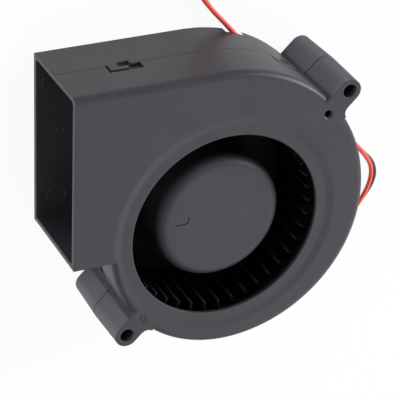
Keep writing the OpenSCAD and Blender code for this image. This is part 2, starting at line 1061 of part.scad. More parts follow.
// strap that holds the coil together
module coil_tie() {
    band = 2 * lead_d;
    color([0.1, 0.1, 0.1])
        translate([coil_centre[0], coil_centre[1], 0])
            rotate([0, 0, tie_angle])
                translate([coil_mid, 0, coil_h / 2 + tie_t / 2])
                    rotate([90, 0, 0])
                        translate([0, 0, -tie_w / 2])
                            linear_extrude(tie_w)
                                difference() {
                                    rounded_square(band + 2 * tie_t, coil_h + tie_t, 0.7);
                                    rounded_square(band, coil_h - tie_t, 0.5);
                                }
}

// bare tinned end that leaves the last turn straight on
module lead_tip(middle_r, turns) {
    color([0.8, 0.8, 0.82])
        translate([coil_centre[0], coil_centre[1], lead_r + turns * turn_rise])
            rotate([0, 0, 180 - 360 * turns])
                translate([middle_r, 0, 0])
                    rotate([90, 0, 0])
                        cylinder(h = tip_length, r = core_r);
}

module red_tip() {
    lead_tip(coil_outer_r, red_turns);
}

module black_tip() {
    lead_tip(coil_r, black_turns);
}

back_casing();
front_cover();
tube_plug();
bearing_tube();
stator_core();
lower_insulator();
upper_insulator();
coil(0);  // coil_1
coil(1);  // coil_2
coil(2);  // coil_3
coil(3);  // coil_4
coil_pin(0);  // coil_pin_1
coil_pin(1);  // coil_pin_2
coil_pin(2);  // coil_pin_3
circuit_board();
hall_sensor();
driver_chip();
capacitor();
resistor();
diode();
red_solder();
black_solder();
outer_race(rear_bearing_z);  // rear_outer_race
balls(rear_bearing_z);  // rear_balls
cage(rear_bearing_z);  // rear_cage
inner_race(rear_bearing_z);  // rear_inner_race
shield(rear_bearing_z);  // rear_shield
outer_race(front_bearing_z);  // front_outer_race
balls(front_bearing_z);  // front_balls
cage(front_bearing_z);  // front_cage
inner_race(front_bearing_z);  // front_inner_race
shield(front_bearing_top - 0.25);  // front_shield
shaft();
retaining_clip();
thrust_washer();
spring_washer();
rotor_cup();
magnet_ring();
impeller();
red_lead();
black_lead();
red_lead_coil();
black_lead_coil();
coil_tie();
red_tip();
black_tip();
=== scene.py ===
import logging
import math
from collections.abc import Callable
from dataclasses import dataclass, field
from enum import Enum

import bmesh
import bpy
from mathutils import Matrix, Vector


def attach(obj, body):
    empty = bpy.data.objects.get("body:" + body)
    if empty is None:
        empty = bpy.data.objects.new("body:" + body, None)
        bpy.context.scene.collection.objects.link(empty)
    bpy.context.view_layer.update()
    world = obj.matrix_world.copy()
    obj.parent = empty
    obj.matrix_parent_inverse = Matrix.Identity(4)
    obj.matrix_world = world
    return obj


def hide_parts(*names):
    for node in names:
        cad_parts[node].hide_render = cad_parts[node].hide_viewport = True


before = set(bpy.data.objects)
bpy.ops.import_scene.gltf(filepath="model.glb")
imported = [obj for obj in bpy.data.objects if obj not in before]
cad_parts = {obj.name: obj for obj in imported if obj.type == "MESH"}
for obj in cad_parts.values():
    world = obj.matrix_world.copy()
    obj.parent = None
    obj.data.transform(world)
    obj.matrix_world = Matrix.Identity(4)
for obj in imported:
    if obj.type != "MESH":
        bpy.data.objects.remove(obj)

MM = 0.001
# With no window, transform.rotate turns the other way.
TURN_SIGN = -1
# Vertices closer than this are merged.
WELD = 0.0005 * MM
# Cosines for a face that looks straight along a direction, and for one on either side of it.
SAME_WAY = 0.95
EITHER_WAY = 0.9
# A wave texture of scale 1 repeats every 0.314 units.
WAVE_PITCH = 0.314
# Two points closer than this, in millimetres, are taken as one place.
NEAR = 0.02
log = logging.getLogger("blower")

Tone = tuple[float, float, float]
Triple = tuple[float, float, float]


# ---------- shader nodes ----------


class Graph:
    """Shader nodes of one material, added one at a time."""

    def __init__(self, name: str) -> None:
        """Start with an empty tree.

        Args:
            name: Name of the material.
        """
        self.material = bpy.data.materials.new(name)
        self.material.use_nodes = True
        self.tree = self.material.node_tree
        self.tree.nodes.clear()

    def add(self, kind: str, inputs: dict | None = None, **settings: object) -> bpy.types.Node:
        """Add a node.

        Args:
            kind: Node type without its "ShaderNode" start.
            inputs: Socket name or number to a constant or to the output that feeds it.
            settings: The node's own options.

        Returns:
            The new node.
        """
        node = self.tree.nodes.new("ShaderNode" + kind)
        for key, value in settings.items():
            setattr(node, key, value)
        for key, value in (inputs or {}).items():
            socket = node.inputs[key]
            if isinstance(value, bpy.types.NodeSocket):
                self.tree.links.new(value, socket)
            elif socket.type == "RGBA" and len(value) == 3:
                socket.default_value = (*value, 1.0)
            else:
                socket.default_value = value
        return node

    def place(self) -> bpy.types.NodeSocket:
        """Object coordinates."""
        return self.add("TexCoord").outputs["Object"]

    def noise(self, vector: bpy.types.NodeSocket, size: float, detail: float = 3.0) -> bpy.types.NodeSocket:
        """Cloudy pattern from 0 to 1, with clouds of one size in metres and finer octaves on them."""
        inputs = {"Vector": vector, "Scale": 1 / size, "Detail": detail, "Roughness": 0.6}
        return self.add("TexNoise", inputs).outputs[0]

    def between(self, value: bpy.types.NodeSocket, low: float, high: float,
                start: float = 0.0, end: float = 1.0) -> bpy.types.NodeSocket:
        """Smooth step of a value, from start at low to end at high."""
        inputs = {"Value": value, "From Min": low, "From Max": high, "To Min": start, "To Max": end}
        return self.add("MapRange", inputs, interpolation_type="SMOOTHSTEP").outputs["Result"]

    def math(self, step: str, a: bpy.types.NodeSocket | float,
             b: bpy.types.NodeSocket | float) -> bpy.types.NodeSocket:
        """One sum of two values, named by its operation."""
        return self.add("Math", {0: a, 1: b}, operation=step).outputs[0]

    def mix(self, share: bpy.types.NodeSocket | float, a: bpy.types.NodeSocket | Tone,
            b: bpy.types.NodeSocket | Tone) -> bpy.types.NodeSocket:
        """Blend of two colours, where share says how much of b shows."""
        return self.add("Mix", {0: share, 6: a, 7: b}, data_type="RGBA").outputs[2]

    def finish(self, **inputs: object) -> bpy.types.Material:
        """Close the tree with one surface shader.

        Args:
            inputs: Sockets of the surface shader, underscores for spaces.

        Returns:
            The material.
        """
        named = {key.replace("_", " "): value for key, value in inputs.items()}
        shader = self.add("BsdfPrincipled", named)
        self.add("OutputMaterial", {"Surface": shader.outputs[0]})
        return self.material


def shade(tone: Tone, factor: float) -> Tone:
    """The same hue, lighter or darker.

    Args:
        tone: Linear colour.
        factor: How bright it becomes.

    Returns:
        The scaled colour.
    """
    return tuple(min(1.0, channel * factor) for channel in tone)


# ---------- modelling by hand ----------


FaceTest = Callable[[Vector, Vector], bool]


class Workpiece:
    """One piece in hand: a primitive shaped in edit mode, all sizes in millimetres."""

    def __init__(self, name: str) -> None:
        """Clear the bench, so that no operator acts on anything but the new piece."""
        self.name = name
        bpy.ops.object.select_all(action="DESELECT")

    def block(self, low: Triple, high: Triple) -> "Workpiece":
        """Start from a box.

        Args:
            low: Its lowest corner.
            high: Its highest corner.

        Returns:
            The piece, open for editing.
        """
        a, b = Vector(low) * MM, Vector(high) * MM
        bpy.ops.mesh.primitive_cube_add(size=1, location=(a + b) / 2, scale=b - a)
        return self.take()

    def rod(self, radius: float, low: float, high: float, sides: int = 32) -> "Workpiece":
        """Start from an upright round bar on the Z axis.

        Args:
            radius: Radius of the bar.
            low: Height of its foot.
            high: Height of its top.
            sides: Number of sides.

        Returns:
            The piece, open for editing.
        """
        bpy.ops.mesh.primitive_cylinder_add(
            vertices=sides,
            radius=radius * MM,
            depth=(high - low) * MM,
            location=(0, 0, (low + high) / 2 * MM),
        )
        return self.take()

    def wire(self, radius: float, centre: Triple, sides: int = 8) -> "Workpiece":
        """Start from a filled circle that faces up.

        Args:
            radius: Radius of the wire.
            centre: Middle of the circle.
            sides: Number of sides.

        Returns:
            The piece, open for editing.
        """
        bpy.ops.mesh.primitive_circle_add(
            vertices=sides, radius=radius * MM, fill_type="NGON", location=Vector(centre) * MM
        )
        return self.take()

    def take(self) -> "Workpiece":
        """Returns:
            The fresh primitive as this piece, open for editing."""
        self.piece = bpy.context.active_object
        self.piece.name = self.piece.data.name = self.name
        bpy.ops.object.transform_apply(location=True, rotation=True, scale=True)
        bpy.ops.object.mode_set(mode="EDIT")
        bpy.ops.mesh.select_mode(type="FACE")
        return self

    def choose(self, test: FaceTest) -> "Workpiece":
        """Select faces by their middle and their normal.

        Args:
            test: Says whether a face is chosen.

        Returns:
            The piece.
        """
        mesh = bmesh.from_edit_mesh(self.piece.data)
        mesh.normal_update()
        for face in mesh.faces:
            face.select_set(test(face.calc_center_median() / MM, face.normal))
        mesh.select_flush_mode()
        bmesh.update_edit_mesh(self.piece.data)
        return self

    def facing(self, way: Triple) -> "Workpiece":
        """Select the faces that look one way."""
        aim = Vector(way).normalized()
        return self.choose(lambda _, normal: normal.dot(aim) > SAME_WAY)

    def extrude(self, move: Triple) -> "Workpiece":
        """Pull the chosen faces out along each axis."""
        bpy.ops.mesh.extrude_region_move(TRANSFORM_OT_translate={"value": Vector(move) * MM})
        return self

    def inset(self, width: float, depth: float = 0.0) -> "Workpiece":
        """Inset the chosen faces by a rim of some width and raise them by a depth."""
        bpy.ops.mesh.inset(thickness=width * MM, depth=depth * MM)
        return self

    def resize(self, factor: Triple, centre: Triple) -> "Workpiece":
        """Scale what is chosen along each axis, about a fixed centre."""
        bpy.ops.transform.resize(value=factor, center_override=Vector(centre) * MM)
        return self

    def bend(self, degrees: float, axis: str, centre: Triple, steps: int) -> "Workpiece":
        """Pull the chosen faces round a corner.

        Args:
            degrees: Whole turn of the corner.
            axis: Letter of the axis that it turns about.
            centre: Middle of the corner.
            steps: Number of short pulls.

        Returns:
            The piece.
        """
        step = math.radians(degrees / steps)
        for _ in range(steps):
            bpy.ops.mesh.extrude_region_move(TRANSFORM_OT_translate={"value": (0, 0, 0)})
            bpy.ops.transform.rotate(value=step, orient_axis=axis, center_override=Vector(centre) * MM)
        return self

    def bevel(self, width: float, segments: int = 2) -> "Workpiece":
        """Round the edges of the chosen faces."""
        bpy.ops.mesh.bevel(offset=width * MM, segments=segments, affect="EDGES", clamp_overlap=True)
        return self

    def delete(self) -> "Workpiece":
        """The piece without the chosen faces."""
        bpy.ops.mesh.delete(type="FACE")
        return self

    def whole(self) -> "Workpiece":
        """The piece with every face chosen."""
        bpy.ops.mesh.select_all(action="SELECT")
        return self

    def close(self, smooth: float = 40.0) -> bpy.types.Object:
        """Merge doubles, turn the faces outwards and leave edit mode.

        Args:
            smooth: Edges flatter than this many degrees are shaded smooth.

        Returns:
            The piece.
        """
        self.whole()
        bpy.ops.mesh.remove_doubles(threshold=WELD)
        self.whole()
        bpy.ops.mesh.normals_make_consistent(inside=False)
        bpy.ops.object.mode_set(mode="OBJECT")
        bpy.ops.object.shade_smooth_by_angle(angle=math.radians(smooth))
        return self.piece


def only(piece: bpy.types.Object) -> None:
    """Select one piece and nothing else.

    Args:
        piece: The piece.
    """
    bpy.ops.object.select_all(action="DESELECT")
    piece.select_set(True)
    bpy.context.view_layer.objects.active = piece


def settle(piece: bpy.types.Object, place: Matrix) -> bpy.types.Object:
    """Move a finished piece and keep its place in its mesh.

    Args:
        piece: The piece, at the origin.
        place: Where it goes, in metres.

    Returns:
        The piece.
    """
    only(piece)
    piece.matrix_world = place
    bpy.ops.object.transform_apply(location=True, rotation=True, scale=True)
    return piece


def copy_of(piece: bpy.types.Object, name: str, place: Matrix) -> bpy.types.Object:
    """Repeat a finished piece with a mesh of its own.

    Args:
        piece: The piece to repeat.
        name: Name of the copy.
        place: Where the copy goes, in metres.

    Returns:
        The copy.
    """
    only(piece)
    bpy.ops.object.duplicate(linked=False)
    twin = bpy.context.active_object
    twin.name = twin.data.name = name
    return settle(twin, place)


def repeat(piece: bpy.types.Object, step: Triple, count: int) -> None:
    """Repeat a mesh in a row with an applied array.

    Args:
        piece: The piece.
        step: Offset of each copy in millimetres.
        count: Number of copies.
    """
    only(piece)
    bpy.ops.object.modifier_add(type="ARRAY")
    row = piece.modifiers[-1]
    row.use_relative_offset, row.use_constant_offset = False, True
    row.constant_offset_displace, row.count = Vector(step) * MM, count
    bpy.ops.object.modifier_apply(modifier=row.name)


def joined(pieces: list[bpy.types.Object], name: str) -> bpy.types.Object:
    """Join meshes into one piece.

    Args:
        pieces: The meshes.
        name: Name of the whole.

    Returns:
        The joined piece.
    """
    bpy.ops.object.select_all(action="DESELECT")
    for piece in pieces:
        piece.select_set(True)
    bpy.context.view_layer.objects.active = pieces[0]
    bpy.ops.object.join()
    pieces[0].name = pieces[0].data.name = name
    return pieces[0]


def turned(degrees: float, x: float = 0.0, y: float = 0.0, z: float = 0.0) -> Matrix:
    """A turn about Z after a move.

    Args:
        degrees: The turn.
        x: Move along X in millimetres.
        y: Move along Y in millimetres.
        z: Move along Z in millimetres.

    Returns:
        The placing matrix, in metres.
    """
    return Matrix.Rotation(math.radians(degrees), 4, "Z") @ Matrix.Translation(Vector((x, y, z)) * MM)


# ---------- finishes ----------


DUST = (0.32, 0.32, 0.31)


@dataclass(frozen=True)
class MouldedPlastic:
    """Glass-filled plastic with spark-eroded grain, rounded edges and a little dust.

    Painted shade darkens recesses: open air within reach counts from closed_at to open_at, and shadow is the
    share of the tone left where there is none.
    Painted light makes the ears' flanks on their -X +Y side paler, and a painted highlight lightens rounded
    edges.
    dish is the radius of the rounding on the dished land.
    """

    name: str
    tone: Tone
    roughness: float = 0.5
    grain: float = 0.35 * MM
    cloud: float = 14 * MM
    relief: float = 0.02 * MM
    edge: float = 0.25 * MM
    # Strength and tone of the painted highlight along rounded edges.
    edge_highlight: float = 0.5
    edge_highlight_tone: float = 3.0
    dust: float = 0.5
    dust_spacing: float = 3.2 * MM
    reach: float = 30 * MM
    shadow: float = 0.2
    closed_at: float = 0.05
    open_at: float = 0.45
    painted_shade_tone: float = 0.05
    recess_roughness: float = 0.5
    specular: float = 0.5
    flank_painted_light: float = 1.0
    dish: float = 0.0

    def material(self) -> bpy.types.Material:
        """Returns:
            The plastic as a material."""
        g = Graph(self.name)
        here = g.place()
        fine = g.noise(here, self.grain)
        broad = g.noise(here, self.cloud, 4)
        edge = self.soft_dish(g, here) if self.dish else self.edge
        rounded = g.add("Bevel", {"Radius": edge}, samples=6).outputs[0]
        flat = g.add("NewGeometry").outputs["Normal"]
        turn = g.add("VectorMath", {0: rounded, 1: flat}, operation="DOT_PRODUCT").outputs["Value"]
        # Painted highlight: rounded edges, found where the bevelled normal turns from the face's own, are
        # painted in a tone several times lighter.
        rim = g.math("MULTIPLY", g.between(turn, 0.995, 0.86), self.edge_highlight)
        colour = g.mix(g.between(broad, 0.35, 0.65), shade(self.tone, 0.93), shade(self.tone, 1.08))
        colour = g.mix(rim, colour, shade(self.tone, self.edge_highlight_tone))
        # Painted light: the ears' flanks that face -X +Y are painted paler, as if lit from that side.
        if self.flank_painted_light != 1.0:
            colour = g.mix(self.painted_light_on_ear_flanks(g, here, flat), colour, shade(self.tone, self.flank_painted_light))
        cells = g.add("TexVoronoi", {"Vector": here, "Scale": 1 / self.dust_spacing, "Randomness": 1.0})
        chance = g.add("SeparateColor", {0: cells.outputs["Color"]}).outputs[0]
        size = g.between(chance, 0.55, 1.0, 0.0, 0.05)
        speck = g.math("LESS_THAN", cells.outputs["Distance"], size)
        colour = g.mix(g.math("MULTIPLY", speck, self.dust), colour, DUST)
        # Painted shade: where little open air lies within reach, the colour is darkened towards a near-black
        # tone and made rougher.
        open_sky = g.add("AmbientOcclusion", {"Distance": self.reach}, samples=12).outputs["AO"]
        painted_shade = g.between(open_sky, self.closed_at, self.open_at, 1.0 - self.shadow, 0.0)
        colour = g.mix(painted_shade, colour, shade(self.tone, self.painted_shade_tone))
        bump = g.add("Bump", {"Strength": 0.6, "Distance": self.relief, "Height": fine, "Normal": rounded})
        rough = g.between(broad, 0.3, 0.7, self.roughness - 0.04, self.roughness + 0.04)
        rough = g.math("ADD", rough, g.math("MULTIPLY", painted_shade, self.recess_roughness))
        return g.finish(Base_Color=colour, Roughness=rough, Normal=bump.outputs[0],
                        Specular_IOR_Level=self.specular)

    def soft_dish(self, g: Graph, here: bpy.types.NodeSocket) -> bpy.types.NodeSocket:
        """The wider rounding of the dished land round the inlet.

        Args:
            g: The graph.
            here: Place on the casing.

        Returns:
            The radius of the rounding.
        """
        level = g.add("VectorMath", {0: here, 1: (1.0, 1.0, 0.0)}, operation="MULTIPLY").outputs["Vector"]
        out = g.add("VectorMath", {0: level}, operation="LENGTH").outputs["Value"]
        land = g.math("MULTIPLY", g.between(out, 32.2 * MM, 33.0 * MM), g.between(out, 39.4 * MM, 38.6 * MM))
        return g.between(land, 0.0, 1.0, self.edge, self.dish)

    def painted_light_on_ear_flanks(self, g: Graph, here: bpy.types.NodeSocket,
                   flat: bpy.types.NodeSocket) -> bpy.types.NodeSocket:
        """The ears' flanks on their -X +Y side, painted paler as painted light from that side.

        Args:
            g: The graph.
            here: Place on the casing.
            flat: The face's normal.

        Returns:
            The share of the painted light.
        """
        outwards = {0: here, 1: (0.7071, 0.7071, 0.0)}
        out = g.add("VectorMath", outwards, operation="DOT_PRODUCT").outputs["Value"]
        ear = g.math("MAXIMUM", g.between(out, 50.3 * MM, 51.3 * MM), g.between(out, -40.6 * MM, -41.6 * MM))
        sideways = {0: flat, 1: (-0.7071, 0.7071, 0.0)}
        side = g.add("VectorMath", sideways, operation="DOT_PRODUCT").outputs["Value"]
        return g.math("MULTIPLY", ear, g.between(side, 0.5, 0.95))


@dataclass(frozen=True)
class TurnedMetal:
    """Metal turned or ground round the rotor axis, with fine rings and a cloudy polish."""

    name: str
    tone: Tone
    roughness: float = 0.28
    pitch: float = 0.12 * MM
    relief: float = 0.004 * MM

    def material(self) -> bpy.types.Material:
        """Returns:
            The metal as a material."""
        g = Graph(self.name)
        here = g.place()
        turning = {"Vector": here, "Scale": WAVE_PITCH / self.pitch, "Distortion": 1.5, "Detail": 2.0}
        rings = g.add("TexWave", turning, wave_type="RINGS", rings_direction="Z").outputs[1]
        cloud = g.noise(here, 2.5 * MM)
        bump = g.add("Bump", {"Strength": 0.5, "Distance": self.relief, "Height": rings})
        colour = g.mix(g.between(cloud, 0.35, 0.7), shade(self.tone, 0.88), self.tone)
        rough = g.between(cloud, 0.3, 0.7, self.roughness - 0.06, self.roughness + 0.08)
        return g.finish(Base_Color=colour, Metallic=1.0, Roughness=rough, Normal=bump.outputs[0])


@dataclass(frozen=True)
class Laminations:
    """Stack of thin punched sheets, seen as lines round its side."""

    name: str
    tone: Tone
    pitch: float = 0.5 * MM

    def material(self) -> bpy.types.Material:
        """Returns:
            The stack as a material."""
        g = Graph(self.name)
        here = g.place()
        lines = g.add("TexWave", {"Vector": here, "Scale": WAVE_PITCH / self.pitch, "Distortion": 0.0},
                      wave_type="BANDS", bands_direction="Z").outputs[1]
        cloud = g.noise(here, 3 * MM)
        colour = g.mix(g.between(lines, 0.1, 0.6), shade(self.tone, 0.35), self.tone)
        colour = g.mix(g.between(cloud, 0.55, 0.75, 0.0, 0.35), colour, (0.2, 0.12, 0.06))
        bump = g.add("Bump", {"Strength": 0.8, "Distance": 0.06 * MM, "Height": lines})
        return g.finish(Base_Color=colour, Metallic=0.9, Roughness=0.42, Normal=bump.outputs[0])


@dataclass(frozen=True)
class Enamel:
    """Varnished copper winding wire."""

    name: str
    tone: Tone

    def material(self) -> bpy.types.Material:
        """Returns:
            The wire as a material."""
        g = Graph(self.name)
        here = g.place()
        cloud = g.noise(here, 1.2 * MM)
        colour = g.mix(g.between(cloud, 0.3, 0.7), shade(self.tone, 0.75), self.tone)
        bump = g.add("Bump", {"Strength": 0.3, "Distance": 0.02 * MM, "Height": cloud})
        return g.finish(Base_Color=colour, Metallic=0.85, Roughness=0.3, Coat_Weight=0.6,
                        Coat_Roughness=0.15, Normal=bump.outputs[0])


@dataclass(frozen=True)
class BoardMask:
    """Circuit board: solder mask over copper tracks on woven glass."""

    name: str
    tone: Tone
    tracks: float = 4 * MM
    weave: float = 0.4 * MM

    def material(self) -> bpy.types.Material:
        """Returns:
            The board as a material."""
        g = Graph(self.name)
        here = g.place()
        tracks = g.add("TexVoronoi", {"Vector": here, "Scale": 1 / self.tracks, "Randomness": 0.7},
                       feature="DISTANCE_TO_EDGE").outputs[0]
        copper = g.between(tracks, 0.06, 0.09, 1.0, 0.0)
        weave = g.add("TexWave", {"Vector": here, "Scale": WAVE_PITCH / self.weave, "Distortion": 0.4},
                      wave_type="BANDS", bands_direction="DIAGONAL").outputs[1]
        colour = g.mix(copper, self.tone, shade(self.tone, 2.2))
        height = g.math("ADD", g.math("MULTIPLY", copper, 0.7), g.math("MULTIPLY", weave, 0.2))
        bump = g.add("Bump", {"Strength": 0.6, "Distance": 0.05 * MM, "Height": height})
        return g.finish(Base_Color=colour, Roughness=0.32, Coat_Weight=0.4, Coat_Roughness=0.2,
                        Normal=bump.outputs[0])


@dataclass(frozen=True)
class Insulation:
    """Soft vinyl covering of a lead, slightly uneven and handled."""

    name: str
    tone: Tone
    roughness: float = 0.36

    def material(self) -> bpy.types.Material:
        """Returns:
            The vinyl as a material."""
        g = Graph(self.name)
        here = g.place()
        cloud = g.noise(here, 4 * MM)
        fine = g.noise(here, 0.3 * MM)
        colour = g.mix(g.between(cloud, 0.3, 0.7), shade(self.tone, 0.88), shade(self.tone, 1.08))
        bump = g.add("Bump", {"Strength": 0.35, "Distance": 0.02 * MM, "Height": fine})
        rough = g.between(cloud, 0.3, 0.7, self.roughness - 0.05, self.roughness + 0.08)
        return g.finish(Base_Color=colour, Roughness=rough, Normal=bump.outputs[0],
                        Subsurface_Weight=0.08, Subsurface_Scale=0.0006)


@dataclass(frozen=True)
class Ceramic:
    """Pressed or cast grainy body: magnet, chip package, capacitor."""

    name: str
    tone: Tone
    roughness: float = 0.6
    grain: float = 0.15 * MM

    def material(self) -> bpy.types.Material:
        """Returns:
            The body as a material."""
        g = Graph(self.name)
        here = g.place()
        fine = g.noise(here, self.grain)
        colour = g.mix(g.between(fine, 0.35, 0.7), shade(self.tone, 0.8), shade(self.tone, 1.25))
        bump = g.add("Bump", {"Strength": 0.6, "Distance": 0.02 * MM, "Height": fine})
        rough = g.between(fine, 0.3, 0.7, self.roughness - 0.06, self.roughness + 0.06)
        return g.finish(Base_Color=colour, Roughness=rough, Normal=bump.outputs[0])


# The casing and impeller plastics carry painted shade in recesses and a painted highlight on edges; the
# casing's ear flanks also carry painted light.
CASING = MouldedPlastic(
    "casing_plastic", (0.034, 0.0328, 0.0405), roughness=0.42, edge=0.5 * MM, specular=0.3, shadow=0.05,
    dish=1.5 * MM, flank_painted_light=3.4,
)
BLADES = MouldedPlastic(
    "impeller_plastic", (0.0465, 0.0448, 0.055), roughness=0.42, edge=0.2 * MM, dust=0.35,
    edge_highlight=0.12, specular=0.2, shadow=0.0, reach=24 * MM, closed_at=0.38, open_at=0.85,
)
BRASS = TurnedMetal("turned_brass", (0.78, 0.57, 0.27), roughness=0.26)
BEARING_STEEL = TurnedMetal("bearing_steel", (0.62, 0.62, 0.63), roughness=0.18)
CAGE_BRASS = TurnedMetal("cage_brass", (0.70, 0.50, 0.24), roughness=0.35)
NYLON = MouldedPlastic("white_nylon", (0.78, 0.76, 0.70), roughness=0.42, edge_highlight=0.0, dust=0.0)
LAMINATED = Laminations("laminated_steel", (0.42, 0.42, 0.43))
CUP_STEEL = TurnedMetal("zinc_plated_cup", (0.50, 0.51, 0.50), roughness=0.34, pitch=0.3 * MM)
MAGNET = Ceramic("pressed_magnet", (0.055, 0.052, 0.050), roughness=0.55, grain=0.3 * MM)
COPPER = Enamel("enamelled_copper", (0.72, 0.30, 0.14))
TINNED = TurnedMetal("tinned_copper", (0.74, 0.74, 0.76), roughness=0.3, pitch=0.2 * MM)
LAMINATE = BoardMask("board_mask", (0.020, 0.105, 0.045))
CHIP_BLACK = Ceramic("chip_package", (0.022, 0.022, 0.024), roughness=0.5)
CERAMIC_TAN = Ceramic("capacitor_body", (0.45, 0.30, 0.17), roughness=0.5)
RED_VINYL = Insulation("red_vinyl", (0.80, 0.075, 0.045))
BLACK_VINYL = Insulation("black_vinyl", (0.018, 0.018, 0.020), roughness=0.34)
TIE_NYLON = MouldedPlastic("black_nylon", (0.020, 0.020, 0.021), roughness=0.38, edge=0.1 * MM, dust=0.0)

DRESSED = {
    CASING: ("back_casing", "front_cover"),
    BLADES: ("impeller", "tube_plug"),
    BRASS: ("bearing_tube",),
    BEARING_STEEL: (
        "rear_outer_race", "rear_inner_race", "rear_balls", "rear_shield", "front_outer_race",
        "front_inner_race", "front_balls", "front_shield", "shaft", "retaining_clip", "spring_washer",
    ),
    CAGE_BRASS: ("rear_cage", "front_cage"),
    NYLON: ("lower_insulator", "upper_insulator", "thrust_washer"),
    LAMINATED: ("stator_core",),
    CUP_STEEL: ("rotor_cup",),
    MAGNET: ("magnet_ring",),
    COPPER: ("coil_1", "coil_2", "coil_3", "coil_4"),
    TINNED: ("coil_pin_1", "coil_pin_2", "coil_pin_3", "red_solder", "black_solder", "red_tip", "black_tip"),
    LAMINATE: ("circuit_board",),
    CHIP_BLACK: ("hall_sensor", "driver_chip", "resistor", "diode"),
    CERAMIC_TAN: ("capacitor",),
    TIE_NYLON: ("coil_tie",),
}


class Palette:
    """Makes each finish once and puts it on pieces."""

    def __init__(self) -> None:
        """Start with no material made."""
        self.made: dict[object, bpy.types.Material] = {}

    def get(self, finish: object) -> bpy.types.Material:
        """One finish as a material.

        Args:
            finish: One of the finish dataclasses.

        Returns:
            Its material, made on the first call.
        """
        if finish not in self.made:
            self.made[finish] = finish.material()
        return self.made[finish]

    def put(self, piece: bpy.types.Object, finish: object) -> None:
        """Give a new piece or a CAD node one finish all over."""
        piece.data.materials.clear()
        piece.data.materials.append(self.get(finish))

    def fit(self, piece: bpy.types.Object, finish: object, slot: str, *nodes: str) -> None:
        """Dress a new piece of the housing and let it stand for its CAD nodes.

        Args:
            piece: The piece.
            finish: Its finish.
            slot: Not used.
            nodes: The nodes that it replaces, if any.
        """
        self.put(piece, finish)
        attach(piece, "housing")
        if nodes:
            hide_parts(*nodes)
        log.info("fitted %s", piece.name)

    def dress_nodes(self) -> None:
        """Give every CAD node its finish."""
        for finish, nodes in DRESSED.items():
            for node in nodes:
                self.put(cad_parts[node], finish)
                log.info("dressed %s in %s", node, finish.name)


# ---------- stator and board ----------


@dataclass
class Windings:
    """Four wire coils, wound in two visible layers round the stator arms."""

    arm_width: float = 3.6
    arm_height: float = 8.6
    start: float = 7.95
    wire: float = 0.44
    turns: int = 13
    middle: float = 15.1
    corner: float = 0.7
    gap: float = 0.01
    corner_steps: int = 4
    core_build: float = 0.95
    core_ahead: float = 0.05
    core_short: float = 0.35
    inner_build: float = 1.18
    outer_build: float = 1.58
    outer_shift: float = 0.2

    def ring(self, build: float, shift: float) -> bpy.types.Object:
        """One turn of wire, repeated along the arm.

        Args:
            build: Distance of the wire's middle from the arm.
            shift: Place of the first turn beyond the coil's start.

        Returns:
            One layer.
        """
        y, z = self.arm_width / 2 + build, self.arm_height / 2 + build
        c = min(self.corner + build, y)
        x = self.start + shift
        part = Workpiece("layer").wire(self.wire / 2, (x, y, self.middle - z + c))
        for way, corner in (
            ((0, 0, 2 * (z - c)), (x, y - c, self.middle + z - c)),
            ((0, -2 * (y - c), 0), (x, c - y, self.middle + z - c)),
            ((0, 0, -2 * (z - c)), (x, c - y, self.middle - z + c)),
            ((0, 2 * (y - c), 0), (x, y - c, self.middle - z + c)),
        ):
            part.extrude(way).bend(TURN_SIGN * 90, "X", corner, self.corner_steps)
        part.delete()
        start = Vector((x, y, self.middle - z + c))
        part.choose(
            lambda middle, normal: abs(normal.z) > EITHER_WAY and (middle - start).length < NEAR
        ).delete()
        layer = part.close()
        repeat(layer, (self.wire + self.gap, 0, 0), self.turns)
        return layer

    def core(self) -> bpy.types.Object:
        """Returns:
            The bundle of inner layers under the visible ones."""
        y, z = self.arm_width / 2 + self.core_build, self.arm_height / 2 + self.core_build
        low = self.start - self.core_ahead
        high = self.start + self.turns * (self.wire + self.gap) - self.core_short
        part = Workpiece("bundle").block((low, -y, self.middle - z), (high, y, self.middle + z))
        part.choose(lambda middle, normal: abs(normal.x) > EITHER_WAY).inset(self.core_build)
        bpy.ops.mesh.bridge_edge_loops()
        return part.close()

    def build(self, palette: Palette) -> None:
        """Wind one coil and copy it to the other arms.

        Args:
            palette: Where the finishes come from.
        """
        inner = self.ring(self.inner_build, self.wire / 2)
        layers = [self.core(), inner, self.ring(self.outer_build, self.outer_shift)]
        first = joined(layers, "winding_1")
        coils = [first] + [copy_of(first, f"winding_{i}", turned(90 * (i - 1))) for i in (2, 3, 4)]
        for i, coil in enumerate(coils, 1):
            palette.fit(settle(coil, turned(45)), COPPER, "copper_wire", f"coil_{i}")


class Leadframe(Enum):
    """How a part on the board is soldered down."""

    GULL_WINGS = "legs"
    END_CAPS = "caps"
    SIDE_LEGS = "pins"


